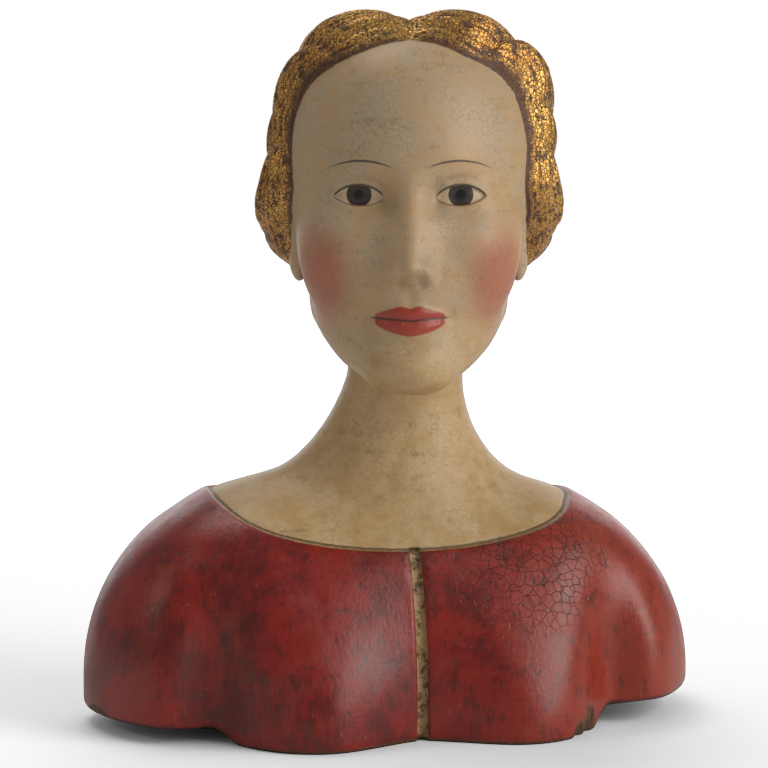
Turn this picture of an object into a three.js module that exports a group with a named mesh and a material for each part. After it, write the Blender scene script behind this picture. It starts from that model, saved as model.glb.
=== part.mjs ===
// A carved and painted wooden bust of a woman, cut off flat below the chest.
// Lengths are in millimetres. +X is the viewer's right, the chest faces -Y, +Z is up.
// The bust is carved from one block, so it is one solid.
import * as THREE from "three";

const { lerp, clamp } = THREE.MathUtils;
const radians = THREE.MathUtils.degToRad;

// The whole bust.
const bustHeight = 328;
const headHeight = 172;
const headTurn = radians(-12);
const chinPlace = new THREE.Vector3(4.5, -22, bustHeight - headHeight);

// The face is divided by the drawing-book rule: the head is three and a half parts high,
// chin to nose, nose to brow and brow to hairline are one part each, and five eyes fit across.
const part = headHeight / 3.5;
const noseLine = part;
const browLine = 2 * part;
const hairLine = 3 * part;
const eyeLine = headHeight / 2;
const mouthLine = noseLine * 2 / 3;
const faceWidth = headHeight * 0.64;
const eyeWidth = faceWidth / 5;
const noseTip = noseLine + 6.5;
const eyeDeep = -43.6;
const eyeBall = 11.6;
const lidThick = 1.5;
const lockWide = 8;

// Small helpers for soft shapes.
const bell = (t) => Math.exp(-t * t);
const ramp = (from, to, x) => {
  const t = clamp((x - from) / (to - from), 0, 1);
  return t * t * (3 - 2 * t);
};
const softMin = (a, b, reach) => {
  const h = Math.max(reach - Math.abs(a - b), 0) / reach;
  return Math.min(a, b) - (h * h * reach) / 4;
};
const softMax = (a, b, reach) => -softMin(-a, -b, reach);

// Signed distance, roughly, to an egg: each axis has a radius on either side of the centre.
// "plan" and "tall" say how square it is, seen from above and from the side.
function egg(x, y, z, at, size) {
  const dx = x - at[0];
  const dy = y - at[1];
  const dz = z - at[2];
  const ry = dy < 0 ? size.front : size.back;
  const rz = dz < 0 ? size.down : size.up;
  const far = Math.hypot(dx, dy, dz);
  if (far < 1e-6) return -Math.min(size.side, ry, rz);
  if (!size.plan) return far * (1 - 1 / Math.hypot(dx / size.side, dy / ry, dz / rz));
  const n = dz < 0 ? size.low : size.tall;
  const round = Math.abs(dx / size.side) ** size.plan + Math.abs(dy / ry) ** size.plan;
  return far * (1 - (round ** (n / size.plan) + Math.abs(dz / rz) ** n) ** (-1 / n));
}

// Signed distance to a rod with round ends that tapers from one radius to the other.
function rod(x, y, z, from, to, thick, thin) {
  const ax = to[0] - from[0];
  const ay = to[1] - from[1];
  const az = to[2] - from[2];
  const px = x - from[0];
  const py = y - from[1];
  const pz = z - from[2];
  const t = clamp((px * ax + py * ay + pz * az) / (ax * ax + ay * ay + az * az), 0, 1);
  return Math.hypot(px - ax * t, py - ay * t, pz - az * t) - lerp(thick, thin, t);
}

// Height of the face's features above the plain head, looking straight at it.
// x runs across from the nose and z up from the chin.
function faceRelief(x, z) {
  const across = Math.abs(x);
  let rise = 0;

  // Eye sockets, the ridge of the brow above and the cheekbones below them.
  const level = bell((z - eyeLine) / 9.5);
  rise -= 6 * bell((across - 19) / 12) * level;
  rise -= 4 * bell((across - 11) / 4.5) * bell((z - eyeLine + 1.5) / 6.5);
  rise -= 2 * bell(x / 8) * bell((z - eyeLine - 1) / 7);
  const browArch = browLine + 2 + 2 * bell((across - eyeWidth - 2) / 15);
  rise += 1 * bell((z - browArch) / 6) * bell((across - 19) / 16);
  rise += 2 * bell((across - 30) / 13) * bell((z - 66) / 12);

  // Nose: a ridge that grows from between the brows to a round tip, and the wings beside it.
  const down = clamp((browLine - 8 - z) / (browLine - 8 - noseTip), 0, 1);
  const ridge = 1.5 + 7.5 * down ** 1.1;
  const underside = ramp(noseLine - 6, noseTip + 1, z);
  rise += ridge * underside * ramp(browLine + 10, browLine - 12, z) * bell(x / lerp(6, 9.2, down));
  rise += 4 * bell(x / 6) * bell((z - noseTip + 0.5) / 5.6);
  rise += 4.4 * bell((across - 8) / 3.4) * bell((z - noseLine - 4.4) / 4.4);
  rise -= 1.8 * bell((across - 4.4) / 2.1) * bell((z - noseLine + 0.4) / 2);

  // Mouth: the soft mound round the teeth, the two lips and the line between them.
  const half = 17;
  const t = across / half;
  const side = clamp(1 - t * t, 0, 1);
  const lipLine = mouthLine + 0.2 * t * t - 0.5 * bell(x / 3.5);
  const above = z - lipLine;
  rise += 2.6 * bell(x / 18) * bell((z - mouthLine) / 14);
  const upperTall = 5.6 * side ** 0.75 + 0.7 * bell((across - 4.2) / 2.8) + 0.2;
  const lowerTall = 6.8 * side ** 0.6 + 0.2;
  if (across < half) {
    const upper = ramp(upperTall + 2, upperTall * 0.4, above) * ramp(-1.4, 1, above);
    const lower = ramp(-lowerTall - 3, -lowerTall * 0.4, above) * ramp(1.2, -1.8, above);
    rise += 2.1 * side ** 0.6 * upper + 2.7 * side ** 0.5 * lower;
  }
  rise -= 1.3 * bell(above / 1.6) * ramp(half + 2, half - 5, across);
  rise -= 1.3 * bell((across - half - 0.6) / 3) * bell((z - mouthLine - 0.8) / 3.2);
  rise -= 0.8 * bell(x / 2.4) * bell((z - noseLine + 5) / 4.5);
  rise -= 2.2 * bell(x / 13) * bell((z - mouthLine + 12.5) / 4);
  rise += 1.6 * bell(x / 12) * bell((z - 9) / 8);
  return rise;
}

// One eye: the ball, and over it lids that leave an almond open.
function eyeSolid(across, y, z, skin) {
  const dx = across - eyeWidth - 0.4;
  const dz = z - eyeLine;
  const dy = y - eyeDeep;
  if (Math.abs(dx) > 18 || Math.abs(dz) > 16 || dy > 4) return skin;
  const ball = Math.hypot(dx / 1.22, dy, dz) - eyeBall;
  const t = clamp(dx / (eyeWidth / 2), -1, 1);
  const middle = 0.6 * t;
  const open = 1 - t * t;
  const upper = middle + 5.2 * open ** 0.75 - 0.5 * t;
  const lower = middle - 3.7 * open ** 0.85;
  const beyond = Math.max(dz - upper, lower - dz, Math.abs(dx) - eyeWidth / 2);
  const lids = Math.max(ball - lidThick, -beyond);
  return Math.min(softMin(skin, lids, 2.6), ball);
}

// The plain head under hair and features, from the chin at z 0.
const skull = { side: 56, front: 66, back: 70, up: 67, down: 74, plan: 2, tall: 2.3, low: 2.1 };
function plainHead(x, y, z) {
  const a = Math.abs(x);
  const cranium = egg(x, y, z, [0, 2, 100], skull);
  const face = egg(x, y, z, [0, -20, 62], { side: 45, front: 45, back: 46, up: 54, down: 60 });
  const cheek = egg(a, y, z, [30, -34, 64], { side: 17, front: 20, back: 22, up: 20, down: 26 });
  const jaw = rod(a, y, z, [30, -2, 36], [10, -46, 14], 13, 12);
  const chin = egg(x, y, z, [0, -50, 13], { side: 14, front: 15, back: 18, up: 16, down: 13 });
  return softMin(softMin(softMin(cranium, face, 12), softMin(jaw, chin, 12), 14), cheek, 14);
}

const turnCos = Math.cos(headTurn);
const turnSin = Math.sin(headTurn);

function headSolid(x, y, z) {
  const a = Math.abs(x);
  const bare = plainHead(x, y, z);
  let skin = bare;
  if (y < -8) {
    skin = plainHead(x, y + faceRelief(x, z) * ramp(-8, -32, y), z);
    skin = eyeSolid(a, y, z, skin);
  }
  const ear = egg(a, y, z, [53, -4, 65], { side: 6, front: 8, back: 9, up: 15, down: 14 });
  const hollow = egg(a, y, z, [60, -5, 68], { side: 5, front: 4.5, back: 5, up: 9, down: 9 });
  return Math.min(softMin(skin, softMax(ear, -hollow, 2), 4), hairSolid(x, y, z, bare));
}

// The hairline is where the head meets this depth, by the angle from the crown down to the nape:
// an upright arch over the brow and temples, over the ears, then back behind them to the neck.
const hairCentre = 87;
function hairlineDepth(angle) {
  return -24 + 28 * ramp(84, 118, angle) + 18 * ramp(110, 150, angle) + 16 * ramp(140, 180, angle);
}

// Number of the lock a point lies in. Locks follow the hairline near the face and gather
// towards the knot at the back.
const knotCentre = [0, 78, 60];
function lockNumber(y, z, behind) {
  const round = Math.atan2(z - knotCentre[2], knotCentre[1] - y) * 62;
  return lerp(behind, round, ramp(6, 40, behind)) / lockWide;
}

// Waves down each side lie between these angles from the parting.
const waveEdges = [0, 30, 54, 69, 128];
const waveSwellLeft = [4.6, 3.4, 2.6, 8.2];
const waveSwellRight = [4.4, 8, 4, 7];
const hairMass = { side: 67, front: 64, back: 74, up: 85, down: 60, plan: 2.2, tall: 2.8, low: 2 };

function hairSolid(x, y, z, bare) {
  const a = Math.abs(x);
  const angle = Math.atan2(a, z - hairCentre) / radians(1);
  const behind = (y - hairlineDepth(angle)) * 1.1;
  if (behind < -12) return bare + 8;
  const mass = egg(x, y, z, [0.8, 6, hairCentre], hairMass);
  const roll = lerp(17, 25, ramp(78, 104, angle));
  const thick = 1 - (1 - clamp(behind / roll, 0, 1)) ** 2;
  const slanted = angle - 0.3 * (behind - 8);
  let swell = 0;
  (x < 0 ? waveSwellLeft : waveSwellRight).forEach((tall, i) => {
    const t = (slanted - waveEdges[i]) / (waveEdges[i + 1] - waveEdges[i]);
    if (t > 0 && t < 1) swell += tall * Math.sin(Math.PI * t) ** 0.6;
  });
  swell *= ramp(62, 20, y);
  const parting = 5 * Math.exp(-a / 5) * ramp(48, 20, y) * ramp(100, 130, z);
  const lock = 1.7 * (Math.abs(Math.sin(Math.PI * lockNumber(y, z, behind))) - 0.5) * ramp(96, 60, y);
  const rise = (swell + lock * ramp(2, 8, behind) - parting) * thick - 3.6;
  const knot = egg(x, y, z, [0, 64, 60], { side: 33, front: 20, back: 25, up: 28, down: 24 });
  const coil = 1.1 * Math.abs(Math.sin(Math.hypot(x, z - 60) * 0.42 + Math.atan2(x, z - 60) / 2));
  const hair = lerp(bare + 1.2, mass - rise, thick) + 0.6 * Math.max(-behind, 0);
  return softMin(hair, knot - coil, 8);
}

// Chest, shoulders and upper arms, cut off at z 0.
const shoulderCore = [60, 17];
const shoulderReach = 82.5;
const shoulderRise = 90;
const chestDeep = 70;
const backDeep = 54;
const shoulderDrop = 0.022;

function torsoSolid(x, y, height) {
  const z = height + shoulderDrop * x;
  const across = Math.abs(x);
  const front = y < 0;
  const low = ramp(98, 20, z);
  let push = 0;
  if (front) {
    push += 18 * bell((across - 46) / 32) * bell((z - 4) / 46);
    push -= 13 * bell((across - 91) / 14) * low;
    push -= 1.5 * bell(x / 12) * low;
    push += 4 * bell((across - 118) / 15) * low;
  } else {
    push += 2.5 * bell((across - 46) / 24) * bell((z - 70) / 32);
    push -= 3 * bell(x / 14) * ramp(130, 90, z);
    push -= 6 * bell((across - 97) / 14) * low;
  }
  const deep = front ? chestDeep : backDeep;
  const warped = Math.max(Math.abs(y) - push * ramp(4, 34, Math.abs(y)), 0);
  const qx = Math.max(across - shoulderCore[0], 0);
  const qz = Math.max(z - shoulderCore[1], 0);
  const section = (warped / deep) ** 2.4 + (qz / shoulderRise) ** 2.4;
  const whole = Math.sqrt((qx / shoulderReach) ** 2 + section ** (2 / 2.4));
  const far = Math.hypot(qx, warped, qz);
  const trunk = whole < 1e-3 ? -56 : far * (1 - 1 / whole);
  const nape = rod(across, y, z, [10, 2, 114], [72, 2, 85], 19, 16);
  return softMin(trunk, nape, 16);
}

const necklineAcross = 86;
const necklineTop = 109;
const necklineDip = 26;
const necklineBack = 42;
const bodiceThick = 1.6;
const slitHalf = 2.35;
const slitDeep = 2.8;
const neckFillet = 32;

// How far outside the neckline a point lies: a shallow bow at the front, an arc behind.
function outsideNeckline(x, y, z) {
  const dip = Math.max(necklineTop - z, 0) / necklineDip;
  const out = Math.hypot(x / necklineAcross, dip * ramp(8, -26, y), y / necklineBack * ramp(-8, 20, y));
  return (out - 1) * lerp(34, 60, ramp(40, 80, Math.abs(x)));
}

// Two solids joined with a round hollow of the given radius between them.
function filletJoin(a, b, radius) {
  const corner = Math.hypot(Math.max(radius - a, 0), Math.max(radius - b, 0));
  return Math.max(Math.min(a, b), radius) - corner;
}

// Places where the wood has broken away along the lower edge.
const chipPlaces = [
  { at: [86, -73, 3], size: { side: 12, front: 8, back: 7, up: 12, down: 12 } },
  { at: [76, -80, 0], size: { side: 9, front: 7, back: 6, up: 8, down: 8 } },
  { at: [-140, -20, 6], size: { side: 7, front: 14, back: 12, up: 5, down: 9 } },
  { at: [112, -46, 7], size: { side: 5, front: 5, back: 5, up: 4, down: 9 } },
];
function chips(x, y, z) {
  if (z > 24) return 20;
  return Math.min(...chipPlaces.map(({ at, size }) => egg(x, y, z, at, size)));
}

// Less than zero inside the wood.
function bust(x, y, z) {
  const hx = x - chinPlace.x;
  const hy = y - chinPlace.y;
  const hz = z - chinPlace.z;
  const neck = rod(x, y, z, [6, 1, 90], [5.5, -12, 178], 31, 25.5);
  let body = neck;
  if (z < 172) {
    const outside = outsideNeckline(x, y, z);
    const dressed = ramp(-0.8, 0.8, outside) * bodiceThick;
    const slit = y < -20 ? slitDeep * ramp(0.55, -0.55, Math.abs(x) - slitHalf) : 0;
    body = filletJoin(torsoSolid(x, y, z), neck, neckFillet) - dressed + slit * ramp(-2, 0, outside);
  }
  if (hz < -40) return softMax(body, -chips(x, y, z), 1.5);
  const head = headSolid(turnCos * hx + turnSin * hy, -turnSin * hx + turnCos * hy, hz);
  return softMin(body, head, 6);
}

// The skin is walked over by rays that leave a line inside the bust, ring by ring.
// Each station gives the ray's start and its climb in degrees at the front, side and back.
const headHeart = [chinPlace.x + 1, chinPlace.y - 2, chinPlace.z + 84];
const chestHeart = [0, 0, 60];
const neckHeart = [5, -8, 140];
const stations = [
  { rows: 19, start: headHeart, climb: [90, 90, 90], turn: headTurn },
  { rows: 4, start: headHeart, aim: [[22, 158], [36, 160], [47, 180]], turn: headTurn },
  { rows: 5, start: neckHeart, aim: [[28, 140], [28, 140], [28, 140]], turn: headTurn / 2 },
  { rows: 1, start: chestHeart, inside: -1, turn: 0 },
  { rows: 8, start: chestHeart, inside: 1, turn: 0 },
  { rows: 0, start: [0, 0, 4], climb: [0, 0, 0], turn: 0, lift: true },
];
const flatMiddle = [78, 40];
const columns = 36;
const finest = 3;
const flatness = 0.16;
const trianglesWanted = 9700;

// Front, side and back values blended by the angle round the bust.
function aroundMix([front, side, back], angle) {
  const c = Math.cos(angle);
  return lerp(side, c > 0 ? front : back, c * c);
}

// The place a station's ray aims at: how far out it lies and how high.
function aimOf(station, angle) {
  const out = aroundMix(station.aim.map((a) => a[0]), angle);
  const high = aroundMix(station.aim.map((a) => a[1]), angle);
  return [out, high];
}

function climbOf(station, angle) {
  if (station.inside) return necklineClimb(angle, station.start, station.inside);
  if (station.climb) return radians(aroundMix(station.climb, angle));
  const [out, high] = aimOf(station, angle);
  return Math.atan2(high - station.start[2], out);
}

// Between two stations that aim at places, the aim moves too, so rays never cross.
function climbBetween(here, next, t, angle, start) {
  if (!here.aim || !next.aim) return lerp(climbOf(here, angle), climbOf(next, angle), t);
  const from = aimOf(here, angle);
  const to = aimOf(next, angle);
  return Math.atan2(lerp(from[1], to[1], t) - start[2], lerp(from[0], to[0], t));
}

// The climb from the chest's heart to the neckline, found where ray and skin meet it.
const necklineKnown = new Map();
function necklineClimb(angle, start, inside) {
  const key = angle.toFixed(6) + inside;
  if (!necklineKnown.has(key)) {
    let high = radians(75);
    let low = radians(5);
    for (let i = 0; i < 24; i++) {
      const climb = (high + low) / 2;
      const p = meet(start, angle, climb);
      if (outsideNeckline(p.x, p.y, p.z) > inside) low = climb;
      else high = climb;
    }
    necklineKnown.set(key, (high + low) / 2);
  }
  return necklineKnown.get(key);
}

// The arms are cut off a little higher than the chest and back.
function armLift(angle) {
  const aside = Math.abs(angle);
  const lift = angle < 0 ? 7.5 : 11;
  return lift * ramp(radians(51), radians(62), aside) * ramp(radians(128), radians(112), aside);
}

// First point outside the wood along a ray, angle 0 being the front.
function meet(start, angle, climb) {
  const dx = Math.sin(angle) * Math.cos(climb);
  const dy = -Math.cos(angle) * Math.cos(climb);
  const dz = Math.sin(climb);
  const at = (t) => bust(start[0] + dx * t, start[1] + dy * t, start[2] + dz * t);
  let near = 8;
  let far = near;
  for (let depth = -at(near); depth >= 0 && far < 260; depth = -at(far)) {
    near = far;
    far += clamp(depth * 0.6, 0.8, 20);
  }
  for (let i = 0; i < 12; i++) {
    const middle = (near + far) / 2;
    if (at(middle) < 0) near = middle;
    else far = middle;
  }
  return new THREE.Vector3(start[0] + dx * far, start[1] + dy * far, start[2] + dz * far);
}

// The ray to a point of the skin: column and row count in whole cells from the back and crown.
function rayTo(column, row) {
  let index = 0;
  let within = row;
  while (within > stations[index].rows && index < stations.length - 2) {
    within -= stations[index].rows;
    index += 1;
  }
  const here = stations[index];
  const next = stations[index + 1];
  const t = clamp(within / here.rows, 0, 1);
  const turnOf = Math.PI * 2 * column / columns - Math.PI;
  const gathered = turnOf - 0.36 * Math.sin(turnOf);
  const angle = gathered + lerp(here.turn, next.turn, t);
  const start = [0, 1, 2].map((i) => lerp(here.start[i], next.start[i], t));
  if (next.lift) start[2] += t * armLift(angle);
  return { start, angle, climb: climbBetween(here, next, t, gathered, start) };
}

function skinPoint(column, row) {
  const { start, angle, climb } = rayTo(column, row);
  return meet(start, angle, climb);
}

const rowCount = stations.reduce((sum, s) => sum + s.rows, 0);

// Cells halve where the skin bends away from them, and neighbours differ by one halving.
function carve() {
  const unit = 2 ** finest;
  const wide = columns * unit;
  const known = new Map();
  const pointAt = (u, v) => {
    const column = v === 0 ? 0 : ((u % wide) + wide) % wide;
    const key = v * wide + column;
    if (!known.has(key)) known.set(key, { key, p: skinPoint(column / unit, v / unit) });
    return known.get(key);
  };
  const bend = (a, middle, b) => a.p.clone().add(b.p).multiplyScalar(0.5).distanceTo(middle.p);
  let cells = [];
  for (let v = 0; v < rowCount; v++) {
    for (let u = 0; u < columns; u++) cells.push([u * unit, v * unit, unit]);
  }
  const needsHalving = ([u, v, s]) => {
    const h = s / 2;
    const corners = [pointAt(u, v), pointAt(u + s, v), pointAt(u + s, v + s), pointAt(u, v + s)];
    const centre = pointAt(u + h, v + h);
    return Math.max(
      bend(corners[0], pointAt(u + h, v), corners[1]),
      bend(corners[1], pointAt(u + s, v + h), corners[2]),
      bend(corners[3], pointAt(u + h, v + s), corners[2]),
      bend(corners[0], pointAt(u, v + h), corners[3]),
      bend(corners[0], centre, corners[2]),
      bend(corners[1], centre, corners[3])
    ) > flatness;
  };
  const halve = ([u, v, s]) => {
    const h = s / 2;
    return [[u, v, h], [u + h, v, h], [u, v + h, h], [u + h, v + h, h]];
  };
  for (let level = 0; level < finest; level++) {
    cells = cells.flatMap((c) => (c[2] === unit / 2 ** level && needsHalving(c) ? halve(c) : [c]));
  }
  // Balance: a cell with a corner of a much finer neighbour on its edge is halved too.
  const cornerKeys = () => {
    const keys = new Set();
    cells.forEach(([u, v, s]) => {
      [[u, v], [u + s, v], [u, v + s], [u + s, v + s]].forEach(([a, b]) => keys.add(pointAt(a, b).key));
    });
    return keys;
  };
  let corners = cornerKeys();
  for (let changed = true; changed; corners = cornerKeys()) {
    changed = false;
    cells = cells.flatMap((c) => {
      const [u, v, s] = c;
      if (s < 4) return [c];
      const q = s / 4;
      const fine = [q, 3 * q].some((d) =>
        [[u + d, v], [u + d, v + s], [u, v + d], [u + s, v + d]].some(([a, b]) =>
          b !== 0 && corners.has(pointAt(a, b).key)
        )
      );
      if (fine) changed = true;
      return fine ? halve(c) : [c];
    });
  }
  return { cells, corners, pointAt, rowsFine: rowCount * unit, wide };
}

// The fine skin as points and triangles of point numbers.
function fineSkin() {
  const { cells, corners, pointAt, rowsFine, wide } = carve();
  const points = [];
  const faces = [];
  const number = (entry) => {
    if (entry.number === undefined) {
      entry.number = points.length;
      points.push(entry.p);
    }
    return entry.number;
  };
  const add = (a, b, c) => {
    if (a !== b && b !== c && a !== c) faces.push([a, b, c]);
  };
  cells.forEach(([u, v, s]) => {
    const h = s / 2;
    const ring = [
      [u, v], [u + h, v], [u + s, v], [u + s, v + h],
      [u + s, v + s], [u + h, v + s], [u, v + s], [u, v + h],
    ];
    const rim = ring
      .filter(([a, b], i) => i % 2 === 0 || (h >= 1 && b !== 0 && corners.has(pointAt(a, b).key)))
      .map(([a, b]) => number(pointAt(a, b)));
    if (rim.length === 4) {
      const [a, b, c, d] = rim;
      if (points[a].distanceTo(points[c]) < points[b].distanceTo(points[d])) {
        add(a, d, c);
        add(a, c, b);
      } else {
        add(a, d, b);
        add(b, d, c);
      }
    } else {
      const centre = number(pointAt(u + h, v + h));
      rim.forEach((p, i) => add(centre, rim[(i + 1) % rim.length], p));
    }
  });

  // The underside: a worn rim, a slope below the arms and the flat middle it stands on.
  const edge = [];
  for (let u = 0; u < wide; u++) {
    const entry = pointAt(u, rowsFine);
    if (corners.has(entry.key)) edge.push(number(entry));
  }
  const rimRing = (inset, drop) => edge.map((i) => {
    const p = points[i];
    const keep = 1 - inset / Math.hypot(p.x, p.y);
    return points.push(new THREE.Vector3(p.x * keep, p.y * keep, p.z - drop)) - 1;
  });
  const innerRing = edge.map((i) => {
    const p = points[i];
    const keep = 1 / Math.hypot(p.x / flatMiddle[0], p.y / flatMiddle[1]);
    return points.push(new THREE.Vector3(p.x * keep, p.y * keep, 0)) - 1;
  });
  let above = edge;
  [rimRing(0.9, 3.1), rimRing(3, 4), innerRing].forEach((below) => {
    above.forEach((p, i) => {
      const j = (i + 1) % above.length;
      add(p, below[i], below[j]);
      add(p, below[j], above[j]);
    });
    above = below;
  });
  const middle = points.push(new THREE.Vector3(0, 0, 0)) - 1;
  above.forEach((p, i) => add(p, middle, above[(i + 1) % above.length]));
  return { points, faces };
}

// How much a slip of the surface matters at a point: most on the face, least behind.
function importance(p) {
  const x = p.x - chinPlace.x;
  const y = p.y - chinPlace.y;
  const z = p.z - chinPlace.z;
  const ahead = -(-turnSin * x + turnCos * y);
  const face = ramp(24, 44, ahead) * ramp(-12, 6, z) * ramp(150, 120, z);
  const rear = ramp(10, 40, p.y);
  return 1 + 7 * face - 0.75 * rear;
}

// Edges are drawn together where that shifts the surface least, until few enough
// triangles are left. Each point carries the sum of squared distances to its planes.
function thin(points, faces, wanted) {
  const planes = points.map(() => new Float64Array(10));
  const around = points.map(() => new Set());
  const alive = faces.map(() => true);
  const edgeA = new THREE.Vector3();
  const edgeB = new THREE.Vector3();
  const normal = new THREE.Vector3();
  const normalOf = (a, b, c) => {
    edgeA.subVectors(b, a);
    edgeB.subVectors(c, a);
    return normal.crossVectors(edgeA, edgeB);
  };
  faces.forEach(([a, b, c], f) => {
    const n = normalOf(points[a], points[b], points[c]);
    const area = n.length() / 2;
    n.normalize();
    const d = -n.dot(points[a]);
    const plane = [n.x, n.y, n.z, d];
    [a, b, c].forEach((i) => {
      around[i].add(f);
      const weight = area * importance(points[i]);
      let k = 0;
      for (let r = 0; r < 4; r++) {
        for (let q = r; q < 4; q++) planes[i][k++] += weight * plane[r] * plane[q];
      }
    });
  });
  const fixed = points.map((p) => p.z < 1e-6);
  const errorAt = (m, x, y, z) =>
    m[0] * x * x + 2 * m[1] * x * y + 2 * m[2] * x * z + 2 * m[3] * x + m[4] * y * y +
    2 * m[5] * y * z + 2 * m[6] * y + m[7] * z * z + 2 * m[8] * z + m[9];
  const solver = new THREE.Matrix3();
  const bestPoint = (i, j) => {
    const m = planes[i].map((value, k) => value + planes[j][k]);
    const middle = points[i].clone().add(points[j]).multiplyScalar(0.5);
    const choices = [points[i].clone(), points[j].clone(), middle];
    solver.set(m[0], m[1], m[2], m[1], m[4], m[5], m[2], m[5], m[7]);
    const size = m[0] + m[4] + m[7];
    if (Math.abs(solver.determinant()) > 1e-5 * size ** 3) {
      const solved = new THREE.Vector3(-m[3], -m[6], -m[8]).applyMatrix3(solver.invert());
      const reach = points[i].distanceTo(points[j]);
      if (solved.distanceTo(middle) < reach) choices.push(solved);
    }
    const kept = fixed[i] ? [choices[0]] : fixed[j] ? [choices[1]] : choices;
    const costs = kept.map((p) => errorAt(m, p.x, p.y, p.z));
    const best = costs.indexOf(Math.min(...costs));
    const length = points[i].distanceToSquared(points[j]);
    return { place: kept[best], cost: Math.max(costs[best], 0) + 1e-4 * length };
  };

  // A heap of edges, cheapest first; stale entries are dropped by their stamp.
  const heap = [];
  const stamp = points.map(() => 0);
  const push = (item) => {
    let at = heap.push(item) - 1;
    while (at > 0 && heap[(at - 1) >> 1].cost > heap[at].cost) {
      const up = (at - 1) >> 1;
      [heap[up], heap[at]] = [heap[at], heap[up]];
      at = up;
    }
  };
  const pop = () => {
    const top = heap[0];
    const last = heap.pop();
    if (heap.length) {
      heap[0] = last;
      for (let at = 0; ;) {
        let small = at;
        for (const child of [2 * at + 1, 2 * at + 2]) {
          if (child < heap.length && heap[child].cost < heap[small].cost) small = child;
        }
        if (small === at) break;
        [heap[small], heap[at]] = [heap[at], heap[small]];
        at = small;
      }
    }
    return top;
  };
  const offer = (i, j) => {
    if (fixed[i] && fixed[j]) return;
    push({ i, j, seen: stamp[i] + stamp[j], ...bestPoint(i, j) });
  };
  const neighbours = (i) => {
    const set = new Set();
    around[i].forEach((f) => faces[f].forEach((k) => set.add(k)));
    set.delete(i);
    return set;
  };
  points.forEach((_, i) => neighbours(i).forEach((j) => {
    if (i < j) offer(i, j);
  }));

  const before = new THREE.Vector3();
  const turnsOver = (i, j, place) => [...around[i]].some((f) => {
    const face = faces[f];
    if (face.includes(j)) return false;
    before.copy(normalOf(...face.map((k) => points[k]))).normalize();
    const after = normalOf(...face.map((k) => (k === i ? place : points[k])));
    const area = after.length();
    const longest = Math.max(edgeA.length(), edgeB.length(), edgeA.distanceTo(edgeB));
    return area < 0.06 * longest * longest || after.dot(before) < 0.35 * area;
  });
  let left = faces.length;
  while (left > wanted && heap.length) {
    const { i, j, seen, place } = pop();
    if (seen !== stamp[i] + stamp[j] || !around[i].size || !around[j].size) continue;
    const mine = neighbours(i);
    if (!mine.has(j)) continue;
    const shared = [...neighbours(j)].filter((k) => mine.has(k));
    if (shared.length !== 2 || turnsOver(i, j, place) || turnsOver(j, i, place)) continue;
    points[i].copy(place);
    fixed[i] = fixed[i] || fixed[j];
    planes[j].forEach((value, k) => {
      planes[i][k] += value;
    });
    [...around[j]].forEach((f) => {
      if (faces[f].includes(i)) {
        alive[f] = false;
        left -= 1;
        faces[f].forEach((k) => around[k].delete(f));
      } else {
        faces[f][faces[f].indexOf(j)] = i;
        around[i].add(f);
      }
    });
    around[j].clear();
    stamp[i] += 1e6;
    neighbours(i).forEach((k) => offer(i, k));
  }
  return faces.filter((_, f) => alive[f]);
}

function skinGeometry() {
  const { points, faces } = fineSkin();
  const kept = trianglesWanted ? thin(points, faces, trianglesWanted) : faces;
  const positions = kept.flatMap((face) => face.flatMap((i) => points[i].toArray()));
  return new THREE.BufferGeometry().setAttribute("position", new THREE.Float32BufferAttribute(positions, 3));
}

const paintedWood = new THREE.MeshStandardMaterial({ color: 0x9c3327, roughness: 0.45, metalness: 0 });
const geometry = skinGeometry();
geometry.computeBoundingBox();
const box = geometry.boundingBox;
geometry.translate(-(box.min.x + box.max.x) / 2, -(box.min.y + box.max.y) / 2, 0);
geometry.computeVertexNormals();
const bustMesh = new THREE.Mesh(geometry, paintedWood);
bustMesh.name = "bust";

const group = new THREE.Group();
group.add(bustMesh);
export default group;
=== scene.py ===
import itertools
import math

import bpy
import numpy as np
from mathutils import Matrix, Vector


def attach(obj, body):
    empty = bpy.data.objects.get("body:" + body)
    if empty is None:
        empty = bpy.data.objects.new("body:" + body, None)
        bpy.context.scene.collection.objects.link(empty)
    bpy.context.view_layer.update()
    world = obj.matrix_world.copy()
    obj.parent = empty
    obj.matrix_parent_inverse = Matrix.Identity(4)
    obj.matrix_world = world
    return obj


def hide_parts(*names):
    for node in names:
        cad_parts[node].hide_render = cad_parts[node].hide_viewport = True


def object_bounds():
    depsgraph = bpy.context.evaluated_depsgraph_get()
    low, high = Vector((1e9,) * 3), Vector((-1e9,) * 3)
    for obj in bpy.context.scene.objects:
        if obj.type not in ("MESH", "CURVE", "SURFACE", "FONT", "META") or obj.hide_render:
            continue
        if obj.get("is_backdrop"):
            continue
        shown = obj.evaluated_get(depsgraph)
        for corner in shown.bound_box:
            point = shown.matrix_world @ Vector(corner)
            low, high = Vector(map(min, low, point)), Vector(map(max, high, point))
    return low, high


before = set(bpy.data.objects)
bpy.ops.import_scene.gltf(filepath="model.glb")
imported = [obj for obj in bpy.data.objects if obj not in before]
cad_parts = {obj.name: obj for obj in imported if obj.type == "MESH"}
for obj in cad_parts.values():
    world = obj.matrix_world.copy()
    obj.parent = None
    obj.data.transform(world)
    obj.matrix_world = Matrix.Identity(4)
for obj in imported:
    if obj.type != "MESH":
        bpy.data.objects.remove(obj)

cadLow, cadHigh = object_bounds()
print("stage: frame loaded")

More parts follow.
